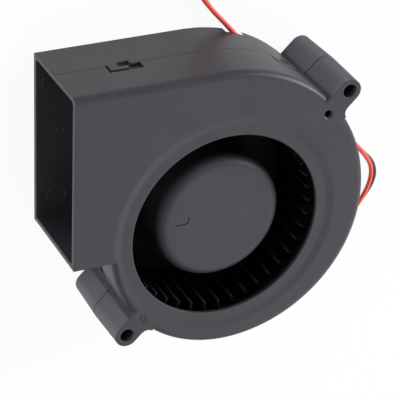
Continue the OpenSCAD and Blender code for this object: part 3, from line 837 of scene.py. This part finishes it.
@dataclass
class BoardPart:
    """A small soldered part: its body and its metal ends."""

    node: str
    angle: float
    size: Triple
    finish: object
    slot: str
    metal: Leadframe
    centre: float = 13.4
    board_top: float = 7.4
    legs: int = 4
    pitch: float = 0.9
    cap: float = 0.06
    cap_depth: float = 0.34
    cap_rise: float = 0.05
    draft: Triple = (0.92, 0.94, 1.0)
    waist: float = 0.08
    leg_half: float = 0.16
    leg_thick: float = 0.18
    leg_root: float = 0.2
    leg_out: float = 0.12
    leg_lean: float = 0.06
    leg_sole: float = 0.2
    leg_foot: float = 0.38

    def body(self) -> bpy.types.Object:
        """Returns:
            The body, drawn in towards top and bottom as it leaves the mould."""
        x, y, z = self.size
        mid = self.board_top + z * 0.5
        low = (self.centre - x / 2, -y / 2, mid - self.waist)
        high = (self.centre + x / 2, y / 2, mid + self.waist)
        part = Workpiece(self.node + "_body").block(low, high)
        centre = (self.centre, 0, mid)
        part.facing((0, 0, 1)).extrude((0, 0, z * 0.5 - self.waist)).resize(self.draft, centre)
        part.inset(0.12).inset(0.06, -0.03)
        part.facing((0, 0, -1)).extrude((0, 0, 2 * self.waist - z * 0.5)).resize(self.draft, centre)
        return part.close(30)

    def leg(self, x: float) -> bpy.types.Object:
        """One bent leg on the +Y side.

        Args:
            x: Its place along the body.

        Returns:
            The leg.
        """
        y = self.size[1] / 2
        top = self.board_top + self.size[2] * 0.5
        half, thick, sole = self.leg_half, self.leg_thick, self.board_top + self.leg_sole
        low = (x - half, y - self.leg_root, top - thick / 2)
        high = (x + half, y + self.leg_out, top + thick / 2)
        part = Workpiece("leg").block(low, high)
        part.facing((0, 1, 0)).extrude((0, thick, 0))
        part.choose(lambda middle, normal: normal.z < -EITHER_WAY and middle.y > y + self.leg_out)
        part.extrude((0, self.leg_lean, sole - top + thick / 2)).extrude((0, 0, -thick))
        part.choose(lambda middle, normal: normal.y > EITHER_WAY and middle.z < sole)
        part.extrude((0, self.leg_foot, 0))
        return part.close(30)

    def across(self) -> Matrix:
        """Half a turn about the body's middle, to its other side."""
        back = Vector((-2 * self.centre, 0, 0)) * MM
        return Matrix.Rotation(math.pi, 4, "Z") @ Matrix.Translation(back)

    def ends(self) -> bpy.types.Object:
        """Returns:
            The legs or the end caps."""
        x, y, z = self.size
        name = f"{self.node}_{self.metal.value}"
        if self.metal is Leadframe.END_CAPS:
            low = (self.centre - x / 2 - self.cap, y / 2 - self.cap_depth, self.board_top)
            high = (self.centre + x / 2 + self.cap, y / 2 + self.cap, self.board_top + z + self.cap_rise)
            made = Workpiece(name).block(low, high).whole().bevel(0.08, 2).close()
            return joined([made, copy_of(made, "cap", self.across())], name)
        span = (self.legs - 1) * self.pitch
        row = self.leg(self.centre - span / 2)
        if self.legs > 1:
            repeat(row, (self.pitch, 0, 0), self.legs)
        if self.metal is Leadframe.SIDE_LEGS:
            row.name = row.data.name = name
            return row
        return joined([row, copy_of(row, "row", self.across())], name)

    def build(self, palette: Palette) -> None:
        """Make the body and its metal ends.

        Args:
            palette: Where the finishes come from.
        """
        body = settle(self.body(), turned(self.angle))
        ends = settle(self.ends(), turned(self.angle))
        palette.fit(body, self.finish, self.slot, self.node)
        palette.fit(ends, TINNED, "tinned_metal")


@dataclass
class Board:
    """Everything that is soldered to the circuit board."""

    underside: float = 6.2
    lead_radius: float = 0.75
    cone: tuple[tuple[float, float], ...] = ((0.14, 0.82), (0.22, 0.84), (0.34, 0.88), (0.26, 0.62))
    parts: tuple[BoardPart, ...] = (
        BoardPart("hall_sensor", 90, (1.6, 2.8, 1.1), CHIP_BLACK, "component_black", Leadframe.SIDE_LEGS,
                  legs=3, pitch=0.5),
        BoardPart("driver_chip", 180, (4.0, 5.0, 1.3), CHIP_BLACK, "component_black", Leadframe.GULL_WINGS),
        BoardPart("capacitor", -90, (2.4, 1.6, 1.2), CERAMIC_TAN, "component_tan", Leadframe.END_CAPS),
        BoardPart("resistor", 222, (1.2, 2.0, 0.6), CHIP_BLACK, "component_black", Leadframe.END_CAPS),
        BoardPart("diode", 0, (2.2, 3.6, 1.3), CHIP_BLACK, "component_black", Leadframe.GULL_WINGS, legs=1),
    )

    def fillet(self, colour: str, place: Vector, palette: Palette) -> None:
        """A solder cone round the end of a lead, under the board.

        Args:
            colour: Which lead it holds.
            place: Where the lead starts, in millimetres.
            palette: Where the finishes come from.
        """
        part = Workpiece(f"{colour}_joint").rod(self.lead_radius, self.underside - 0.12, self.underside, 24)
        for drop, shrink in self.cone:
            part.facing((0, 0, -1)).extrude((0, 0, -drop)).resize((shrink, shrink, 1), (0, 0, 0))
        cone = settle(part.close(60), turned(0, place.x, place.y))
        palette.fit(cone, TINNED, "tinned_metal", f"{colour}_solder")

    def build(self, leads: "LeadPair", palette: Palette) -> None:
        """Solder every part and both leads.

        Args:
            leads: The pair of leads.
            palette: Where the finishes come from.
        """
        for part in self.parts:
            part.build(palette)
        for side in LeadSide:
            self.fillet(side.name.lower(), leads.place(0.0, side), palette)


# ---------- casing and hub trim ----------


@dataclass
class MouldMarks:
    """Round witness marks that the mould's ejector pins leave in the duct."""

    plate: float = 1.6
    discs: tuple[tuple[float, float, float], ...] = (
        (-45.6, 42.4, 2.6), (-43.2, 3.4, 3.4), (-42.2, 25.4, 1.3),
    )
    rise: float = 0.14
    rim: float = 0.22
    sunk: float = 0.1

    def disc(self, index: int, x: float, y: float, radius: float) -> bpy.types.Object:
        """A round ejector mark with a fine raised rim.

        Args:
            index: Its number.
            x: Its place along the duct.
            y: Its place across the duct.
            radius: Its radius.

        Returns:
            The mark.
        """
        low, high = self.plate - self.sunk, self.plate + self.rise
        part = Workpiece(f"ejector_mark_{index}").rod(radius, low, high, 40)
        part.facing((0, 0, 1)).inset(self.rim).extrude((0, 0, -self.sunk))
        return settle(part.close(30), turned(0, x, y))

    def build(self, palette: Palette) -> None:
        """Make every mark."""
        for index, place in enumerate(self.discs, 1):
            palette.fit(self.disc(index, *place), CASING, "housing_plastic")


# ---------- studio ----------


@dataclass
class ViewCamera:
    """Long-lens camera above the outlet's upper corner."""

    place: Vector = field(default_factory=lambda: Vector((-0.2337, 0.30827, 0.4898)))
    right: Vector = field(default_factory=lambda: Vector((0.90708, 0.04046, 0.41900)))
    up: Vector = field(default_factory=lambda: Vector((0.17981, 0.86275, -0.47258)))
    lens: float = 176.705

    def build(self) -> bpy.types.Object:
        """Returns:
            The camera, set as the scene's own."""
        data = bpy.data.cameras.new("view_camera")
        data.lens, data.sensor_width = self.lens, 36.0
        data.clip_start, data.clip_end = 0.05, 20.0
        camera = bpy.data.objects.new("view_camera", data)
        right = self.right.normalized()
        back = right.cross(self.up).normalized()
        up = back.cross(right)
        camera.matrix_world = Matrix.Translation(self.place) @ Matrix((right, up, back)).transposed().to_4x4()
        bpy.context.scene.collection.objects.link(camera)
        bpy.context.scene.camera = camera
        return camera


@dataclass(frozen=True)
class Softbox:
    """Square area light aimed at the rotor axis."""

    name: str
    place: Triple
    size: float
    power: float

    def build(self, target: Vector) -> bpy.types.Object:
        """Hang the light.

        Args:
            target: Point that it faces.

        Returns:
            The light.
        """
        data = bpy.data.lights.new(self.name, "AREA")
        data.size, data.energy = self.size, self.power
        light = bpy.data.objects.new(self.name, data)
        light.location = Vector(self.place)
        light.rotation_mode = "QUATERNION"
        light.rotation_quaternion = (target - light.location).to_track_quat("-Z", "Y")
        bpy.context.scene.collection.objects.link(light)
        return light


@dataclass
class Studio:
    """White floor, white surroundings and soft lights."""

    floor_size: float = 6.0
    floor_height: float = -0.00002
    floor_white: float = 0.8
    floor_glow: float = 0.93
    sky: float = 0.55
    target: Vector = field(default_factory=lambda: Vector((0.0, 0.01, 0.015)))
    boxes: tuple[Softbox, ...] = (
        Softbox("front_softbox", (0.355, -0.469, 0.746), 1.00, 3.3),
        Softbox("low_right_softbox", (0.686, -0.588, 0.294), 0.50, 1.2),
        Softbox("left_softbox", (-0.939, 0.094, 0.113), 0.40, 3.2),
        Softbox("right_softbox", (0.826, 0.323, 0.342), 0.30, 8.0),
    )

    def build(self) -> None:
        """Make the floor, the world and the lights."""
        bpy.ops.object.select_all(action="DESELECT")
        bpy.ops.mesh.primitive_plane_add(size=self.floor_size, location=(0, 0, self.floor_height))
        floor = bpy.context.active_object
        floor.name = "floor"
        floor.data.materials.append(self.floor_material())
        self.light_world()
        for box in self.boxes:
            box.build(self.target)

    def floor_material(self) -> bpy.types.Material:
        """Returns:
            Matt white that looks like the backdrop from the camera and keeps a soft shadow."""
        g = Graph("white_floor")
        rays = g.add("LightPath").outputs
        mirrored = g.math("MAXIMUM", rays["Is Glossy Ray"], rays["Is Transmission Ray"])
        seen = g.math("MAXIMUM", rays["Is Camera Ray"], mirrored)
        glow = g.add("Emission", {"Color": (1.0, 1.0, 1.0), "Strength": 1.0})
        matt = g.add("BsdfDiffuse", {"Color": (self.floor_white,) * 3})
        share = g.math("MULTIPLY", seen, self.floor_glow)
        mixed = g.add("MixShader", {0: share, 1: matt.outputs[0], 2: glow.outputs[0]})
        g.add("OutputMaterial", {"Surface": mixed.outputs[0]})
        return g.material

    def light_world(self) -> None:
        """Set the surroundings: plain light on the object, white to the camera."""
        world = bpy.data.worlds.new("white_room")
        world.use_nodes = True
        tree = world.node_tree
        tree.nodes.clear()
        rays = tree.nodes.new("ShaderNodeLightPath")
        mixed = tree.nodes.new("ShaderNodeMixShader")
        out = tree.nodes.new("ShaderNodeOutputWorld")
        tree.links.new(rays.outputs["Is Camera Ray"], mixed.inputs[0])
        for socket, strength in ((1, self.sky), (2, 1.0)):
            light = tree.nodes.new("ShaderNodeBackground")
            light.inputs["Color"].default_value = (1, 1, 1, 1)
            light.inputs["Strength"].default_value = strength
            tree.links.new(light.outputs[0], mixed.inputs[socket])
        tree.links.new(mixed.outputs[0], out.inputs["Surface"])
        bpy.context.scene.world = world


# ---------- leads ----------


class LeadSide(Enum):
    """Which lead of the pair, with its side of the pair's centre line."""

    RED = 1
    BLACK = -1


@dataclass
class LeadPair:
    """Two loosely twisted leads, their unseen rest wound into one tied coil."""

    diameter: float = 1.5
    length: float = 300.0
    exit_angle: float = math.radians(-29.0)
    start_height: float = 4.55
    pair_gap: float = 0.02
    coil_middle: float = 8.25
    coil_points: int = 16
    turn_rise: float = 1.55
    climb: float = 0.2
    strand: float = 0.125
    strand_steps: int = 20
    strand_turn: float = 14.0
    tip_length: float = 6.0
    tie_wall: float = 0.5
    tie_half: float = 1.2
    tie_round: float = 0.12
    tie_top: float = 5.65
    tie_angle: float = 20.0
    tie_head: tuple[Triple, Triple] = ((-1.5, -1.7, -0.15), (1.4, 1.7, 1.5))
    tie_tail: tuple[Triple, Triple] = ((1.0, -1.1, 0.45), (2.2, 1.1, 0.95))

    def route(self) -> list[tuple[float, float, float, float]]:
        """Returns:
            Stops of the pair's centre line: x, y, height of its lower side, twist in degrees."""
        ex, ey = math.cos(self.exit_angle), math.sin(self.exit_angle)
        return [
            (11.6 * ex, 11.6 * ey, self.start_height, 0),
            (13 * ex, 13 * ey, 2.4, 0),
            (15.4 * ex, 15.4 * ey, 0.6, 0),
            (19 * ex, 19 * ey, 0, 0),
            (26 * ex, 26 * ey, 0, 0),
            (33 * ex, 33 * ey, 0, 0),
            (40 * ex, 40 * ey, 0, 0),
            (47 * ex, 47 * ey, 0, 5),
            (50, -26.6, 0, 20),
            (58, -27.8, 0, 40),
            (63.6, -24.6, 0, 50),
            (66.8, -20.4, 0, 45),
            (69.2, -16.2, 0, 25),
            (69.9, -12, 0, 20),
            (68.6, -7.8, 0, 45),
            (65.6, -3.8, 0, 80),
            (61, 1.2, 0, 90),
            (54.6, 5.6, 0, 90),
            (49, 9.4, 0, 90),
            (44, 14.35, 0, 90),
            (36, 23.76, 0, 90),
            (28, 33.18, 0, 90),
            (20, 42.59, 0, 90),
            (12, 52, 0, 90),
            (7.6, 57, 0, 88),
            (4, 62, 0, 70),
            (1.8, 66.4, 0, 42),
            (0.6, 70.6, 0, 16),
            (0.2, 74.6, 0, 0),
        ]

    def last(self) -> int:
        """Number of the route's last stop."""
        return len(self.route()) - 1

    def stop(self, index: int) -> Vector:
        """A stop of the route, carried straight on past both ends.

        Args:
            index: Number of the stop.

        Returns:
            Its four values.
        """
        stops = [Vector(s) for s in self.route()]
        last = self.last()
        if index < 0:
            return stops[0] * 2 - stops[1]
        if index > last:
            return stops[last] * 2 - stops[last - 1]
        return stops[index]

    def pair_at(self, s: float) -> Vector:
        """The pair's centre line.

        Args:
            s: Place along it, counted in stops.

        Returns:
            x, y, height and twist.
        """
        i = min(math.floor(s), self.last() - 1)
        t = s - i
        a, b, c, d = (self.stop(i + k) for k in (-1, 0, 1, 2))
        square = 2 * a - 5 * b + 4 * c - d
        cube = 3 * b - a - 3 * c + d
        return 0.5 * (2 * b + (c - a) * t + square * t * t + cube * t ** 3)

    def place(self, s: float, side: LeadSide) -> Vector:
        """Centre of one lead.

        Args:
            s: Place along the route, counted in stops.
            side: Which lead.

        Returns:
            The point in millimetres.
        """
        last = self.last()
        radius = self.diameter / 2
        offset = radius + self.pair_gap
        p = self.pair_at(s)
        a, b = self.pair_at(max(0, s - 0.05)), self.pair_at(min(last, s + 0.05))
        left = Vector((a.y - b.y, b.x - a.x, 0)).normalized()
        twist = math.radians(p.w)
        lift = max(0.0, p.z) + radius + offset * abs(math.sin(twist))
        middle = Vector((p.x, p.y, lift))
        return middle + side.value * offset * (math.cos(twist) * left + Vector((0, 0, math.sin(twist))))

    def run(self, side: LeadSide) -> list[tuple[Vector, Vector]]:
        """The uncoiled part of one lead.

        Args:
            side: Which lead.

        Returns:
            Each point with its slope, in millimetres.
        """
        last = self.last()
        found = []
        for i in range(last + 1):
            low, high = max(0.0, i - 0.05), min(float(last), i + 0.05)
            slope = (self.place(high, side) - self.place(low, side)) / (high - low)
            found.append((self.place(i, side), slope))
        return found

    def run_length(self, side: LeadSide) -> float:
        """Length of the uncoiled part.

        Args:
            side: Which lead.

        Returns:
            The length in millimetres.
        """
        steps = 1200
        last = self.last()
        points = [self.place(last * k / steps, side) for k in range(steps + 1)]
        return sum((b - a).length for a, b in zip(points, points[1:]))

    def coil_centre(self) -> Vector:
        """Middle of the coil on the floor, in millimetres."""
        end = self.stop(self.last())
        return Vector((end.x + self.coil_middle, end.y, 0))

    def coil_radius(self, side: LeadSide) -> float:
        """Radius of one lead's turns, in millimetres."""
        return self.coil_middle + side.value * self.diameter / 2

    def coil_turns(self, side: LeadSide) -> float:
        """How many turns hold the rest of the lead."""
        return (self.length - self.run_length(side)) / (2 * math.pi * self.coil_radius(side))

    def coil_place(self, turn: float, side: LeadSide) -> Vector:
        """A point of the coil.

        Args:
            turn: Turns from the coil's start.
            side: Which lead.

        Returns:
            The point in millimetres.
        """
        full = math.floor(turn)
        climb = max(0.0, (turn - full - (1 - self.climb)) / self.climb)
        height = self.diameter / 2 + self.turn_rise * (full + climb * climb * (3 - 2 * climb))
        angle = math.pi - 2 * math.pi * turn
        radius = self.coil_radius(side)
        return self.coil_centre() + Vector((radius * math.cos(angle), radius * math.sin(angle), height))

    def coil(self, side: LeadSide) -> list[tuple[Vector, Vector]]:
        """The coiled part of one lead, after the last stop of its run.

        Args:
            side: Which lead.

        Returns:
            Each point with its slope, in millimetres.
        """
        turns = self.coil_turns(side)
        count = math.ceil(turns * self.coil_points)
        step = turns / count
        found = []
        for k in range(1, count + 1):
            t = k * step
            ahead, behind = self.coil_place(t + 0.002, side), self.coil_place(t - 0.002, side)
            found.append((self.coil_place(t, side), (ahead - behind) / 0.004 * step))
        return found

    def curve(self, side: LeadSide, name: str) -> bpy.types.Object:
        """One lead as a smooth curve with a round section.

        Args:
            side: Which lead.
            name: Name of the piece.

        Returns:
            The curve object.
        """
        points = self.run(side) + self.coil(side)
        data = bpy.data.curves.new(name, "CURVE")
        data.dimensions = "3D"
        data.resolution_u = 6
        data.bevel_depth = self.diameter / 2 * MM
        data.bevel_resolution = 3
        data.use_fill_caps = True
        spline = data.splines.new("BEZIER")
        spline.bezier_points.add(len(points) - 1)
        for i, (point, slope) in enumerate(points):
            knot = spline.bezier_points[i]
            knot.handle_left_type = knot.handle_right_type = "FREE"
            after = before = slope
            if i == self.last():
                after = points[i + 1][1].length * slope.normalized()
            knot.co = point * MM
            knot.handle_left = (point - before / 3) * MM
            knot.handle_right = (point + after / 3) * MM
        lead = bpy.data.objects.new(name, data)
        bpy.context.scene.collection.objects.link(lead)
        return lead

    def tip(self, side: LeadSide) -> bpy.types.Object:
        """The bare tinned end of a lead, seven twisted strands.

        Args:
            side: Which lead.

        Returns:
            The end.
        """
        strands = [Workpiece("strand").rod(self.strand, 0, self.tip_length, 8).close()]
        part = Workpiece("strand").wire(self.strand, (2 * self.strand, 0, 0), 6)
        for _ in range(self.strand_steps):
            part.extrude((0, 0, self.tip_length / self.strand_steps))
            turn = TURN_SIGN * math.radians(self.strand_turn)
            bpy.ops.transform.rotate(value=turn, orient_axis="Z", center_override=(0, 0, 0))
        outer = part.close(60)
        strands += [outer] + [copy_of(outer, "strand", turned(60 * i)) for i in range(1, 6)]
        whole = joined(strands, f"{side.name.lower()}_bare_end")
        turns = self.coil_turns(side)
        place = self.coil_place(turns, side)
        heading = (place - self.coil_place(turns - 0.004, side)).normalized()
        lean = Vector((0, 0, 1)).rotation_difference(Vector((heading.x, heading.y, 0)).normalized())
        return settle(whole, Matrix.Translation(place * MM) @ lean.to_matrix().to_4x4())

    def on_strap(self, corners: tuple[Triple, Triple]) -> list[Triple]:
        """Two corners measured from the strap's upper middle, moved to measure from the coil's."""
        return [(self.coil_middle + x, y, self.tie_top + z) for x, y, z in corners]

    def tie(self) -> bpy.types.Object:
        """Returns:
            The strap round the coil, with its head and cut tail."""
        mid, width, top = self.coil_middle, self.diameter + self.tie_wall, self.tie_top
        band = Workpiece("strap").block((mid - width, -self.tie_half, 0), (mid + width, self.tie_half, top))
        band.choose(lambda middle, normal: abs(normal.y) > EITHER_WAY).inset(self.tie_wall)
        bpy.ops.mesh.bridge_edge_loops()
        band.whole().bevel(self.tie_round, 2)
        loop = band.close()
        head = Workpiece("head").block(*self.on_strap(self.tie_head))
        head.facing((0, 0, 1)).inset(0.35, -0.12)
        head.facing((1, 0, 0)).inset(0.45, -0.3)
        box = head.close(30)
        tail = Workpiece("tail").block(*self.on_strap(self.tie_tail))
        tail.facing((1, 0, 0)).extrude((0.9, 0, -0.2)).resize((1, 0.9, 1), (mid, 0, top))
        whole = joined([loop, box, tail.close(30)], "tie_strap")
        turn = Matrix.Rotation(math.radians(self.tie_angle), 4, "Z")
        return settle(whole, Matrix.Translation(self.coil_centre() * MM) @ turn)

    def build(self, palette: Palette) -> None:
        """Args:
            palette: Where the finishes come from.
        """
        strap = self.tie()
        palette.fit(strap, TIE_NYLON, "black_insulation", "coil_tie")
        for side, finish, slot in (
            (LeadSide.RED, RED_VINYL, "red_insulation"),
            (LeadSide.BLACK, BLACK_VINYL, "black_insulation"),
        ):
            colour = side.name.lower()
            end = self.tip(side)
            palette.fit(end, TINNED, "tinned_metal", f"{colour}_tip")
            lead = self.curve(side, f"{colour}_lead_cord")
            palette.fit(lead, finish, slot, f"{colour}_lead", f"{colour}_lead_coil")
            self.place(0.0, side) * MM
            log.info("made %s: %.2f turns in the coil", lead.name, self.coil_turns(side))


def main() -> None:
    """Build the finished blower piece by piece."""
    logging.basicConfig(level=logging.INFO, format="%(message)s")
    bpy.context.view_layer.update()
    bpy.context.scene.view_settings.view_transform = "Standard"
    palette = Palette()
    ViewCamera().build()
    leads = LeadPair()
    leads.build(palette)
    Windings().build(palette)
    Board().build(leads, palette)
    MouldMarks().build(palette)
    Studio().build()
    palette.dress_nodes()


if __name__ == "__main__":
    main()
